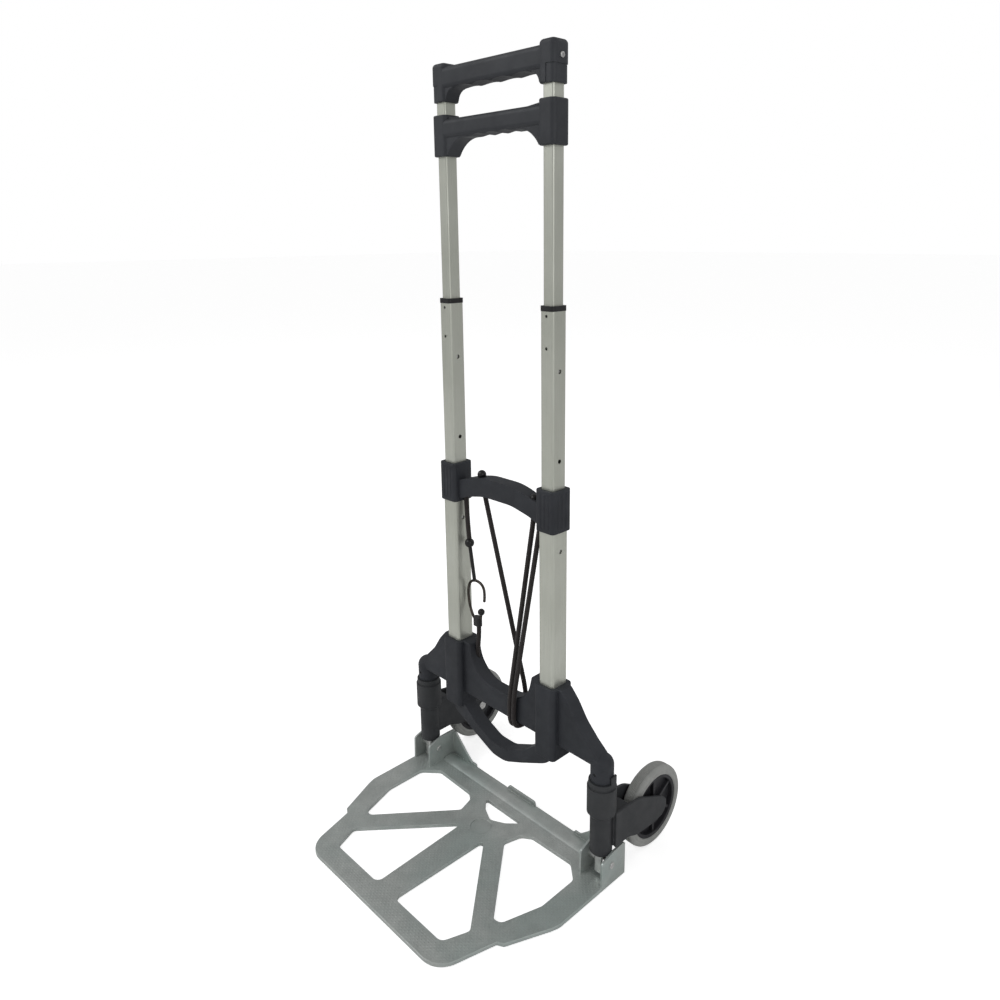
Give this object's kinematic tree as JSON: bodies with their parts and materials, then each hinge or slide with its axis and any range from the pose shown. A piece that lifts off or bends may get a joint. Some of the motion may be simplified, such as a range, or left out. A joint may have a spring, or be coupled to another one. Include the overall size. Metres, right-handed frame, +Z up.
{
  "type": "folding luggage cart",
  "caption": "Folding luggage cart: telescopic twin-tube handle, fold-up toe plate with cut-outs, swing-in wheels and elastic cords.",
  "frame": {"origin": "on the floor, at the middle of the open cart's width and depth", "axes": "+Z up, toe plate towards -Y, wheels towards +Y, +X to the right seen from the toe plate"},
  "size_m": [0.3778, 0.387, 0.9865],
  "materials": {
    "housing_plastic": "fine grain",
    "grip_plastic": "satin grain",
    "bracket_plastic": "satin grain",
    "hub_plastic": "satin",
    "cast_aluminium": "fine cast texture",
    "tube_aluminium": "satin anodised",
    "screw_steel": "zinc plated",
    "bare_steel": "zinc plated",
    "black_guide": "moulded",
    "grey_tyre": "matt",
    "elastic_cord": "braided",
    "black_bead": "moulded",
    "hook_wire": "plated wire"
  },
  "bodies": {
    "base_frame": {"base_housing": "housing_plastic", "outer_tube_right": "tube_aluminium", "outer_tube_left": "tube_aluminium", "socket_screws": "screw_steel", "middle_brace": "housing_plastic", "brace_screws": "screw_steel", "pivot_post_right": "bare_steel", "pivot_post_left": "bare_steel", "post_pin_right": "black_guide", "post_pin_left": "black_guide", "elastic_loop": "elastic_cord", "elastic_stay": "elastic_cord", "cord_knots": "black_bead", "hook_cord": "elastic_cord", "tail_cord": "elastic_cord", "hook_ball": "black_bead", "hook_shank": "black_bead", "wire_hook": "hook_wire", "hook_bead": "black_bead", "hook_crimp": "black_bead"},
    "middle_stage": {"middle_tube_right": "tube_aluminium", "middle_tube_left": "tube_aluminium", "outer_collar_right": "black_guide", "outer_collar_left": "black_guide", "middle_glide_right": "black_guide", "middle_glide_left": "black_guide"},
    "upper_stage": {"upper_tube_right": "tube_aluminium", "upper_tube_left": "tube_aluminium", "upper_glide_right": "black_guide", "upper_glide_left": "black_guide", "lower_grip": "grip_plastic", "lower_grip_screws": "screw_steel"},
    "top_stage": {"inner_tube_right": "tube_aluminium", "inner_tube_left": "tube_aluminium", "top_grip": "grip_plastic", "top_grip_screws": "screw_steel"},
    "toe_plate_body": {"toe_plate": "cast_aluminium", "hinge_rivet_right": "bare_steel", "hinge_rivet_left": "bare_steel", "hinge_spacers_right": "bare_steel", "hinge_spacers_left": "bare_steel"},
    "wheel_arm_right": {"wheel_bracket_right": "bracket_plastic", "axle_right": "bare_steel", "axle_washers_right": "bare_steel"},
    "wheel_right": {"wheel_hub_right": "hub_plastic", "tyre_right": "grey_tyre"},
    "lower_catch_right": {"lower_button_right": "bare_steel", "lower_button_spring_right": "bare_steel"},
    "upper_catch_right": {"upper_button_right": "bare_steel", "upper_button_spring_right": "bare_steel"},
    "wheel_arm_left": {"wheel_bracket_left": "bracket_plastic", "axle_left": "bare_steel", "axle_washers_left": "bare_steel"},
    "wheel_left": {"wheel_hub_left": "hub_plastic", "tyre_left": "grey_tyre"},
    "lower_catch_left": {"lower_button_left": "bare_steel", "lower_button_spring_left": "bare_steel"},
    "upper_catch_left": {"upper_button_left": "bare_steel", "upper_button_spring_left": "bare_steel"}
  },
  "joints": [
    {"name": "toe_plate_fold", "type": "hinge", "parent": "base_frame", "child": "toe_plate_body", "pos_m": [0, 0.0425, 0.027], "axis": [-1, 0, 0], "range_deg": [0, 90]},
    {"name": "wheel_fold_right", "type": "hinge", "parent": "base_frame", "child": "wheel_arm_right", "pos_m": [0.1695, 0.0425, 0.09], "axis": [0, 0, 1], "range_deg": [0, 80]},
    {"name": "wheel_fold_left", "type": "hinge", "parent": "base_frame", "child": "wheel_arm_left", "pos_m": [-0.1695, 0.0425, 0.09], "axis": [0, 0, -1], "range_deg": [0, 80]},
    {"name": "wheel_spin_right", "type": "hinge", "parent": "wheel_arm_right", "child": "wheel_right", "pos_m": [0.173, 0.1385, 0.055], "axis": [1, 0, 0], "continuous": true},
    {"name": "wheel_spin_left", "type": "hinge", "parent": "wheel_arm_left", "child": "wheel_left", "pos_m": [-0.173, 0.1385, 0.055], "axis": [1, 0, 0], "continuous": true},
    {"name": "middle_stage_slide", "type": "slide", "parent": "base_frame", "child": "middle_stage", "axis": [0, 0, 1], "range_m": [-0.208, 0]},
    {"name": "upper_stage_slide", "type": "slide", "parent": "middle_stage", "child": "upper_stage", "axis": [0, 0, 1], "range_m": [-0.169, 0]},
    {"name": "top_grip_slide", "type": "slide", "parent": "upper_stage", "child": "top_stage", "axis": [0, 0, 1], "range_m": [-0.0135, 0.13]},
    {"name": "lower_button_press_right", "type": "slide", "parent": "middle_stage", "child": "lower_catch_right", "axis": [-1, 0, 0], "range_m": [0, 0.003], "stiffness_N_per_m": 400, "springref_m": -0.0005},
    {"name": "upper_button_press_right", "type": "slide", "parent": "upper_stage", "child": "upper_catch_right", "axis": [-1, 0, 0], "range_m": [0, 0.003], "stiffness_N_per_m": 400, "springref_m": -0.0005},
    {"name": "lower_button_press_left", "type": "slide", "parent": "middle_stage", "child": "lower_catch_left", "axis": [-1, 0, 0], "range_m": [0, 0.003], "stiffness_N_per_m": 400, "springref_m": -0.0005},
    {"name": "upper_button_press_left", "type": "slide", "parent": "upper_stage", "child": "upper_catch_left", "axis": [-1, 0, 0], "range_m": [0, 0.003], "stiffness_N_per_m": 400, "springref_m": -0.0005}
  ],
  "couplings": [
    {"joint": "wheel_fold_right", "follows": "toe_plate_fold", "ratio": 0.88888},
    {"joint": "wheel_fold_left", "follows": "toe_plate_fold", "ratio": 0.88888}
  ]
}
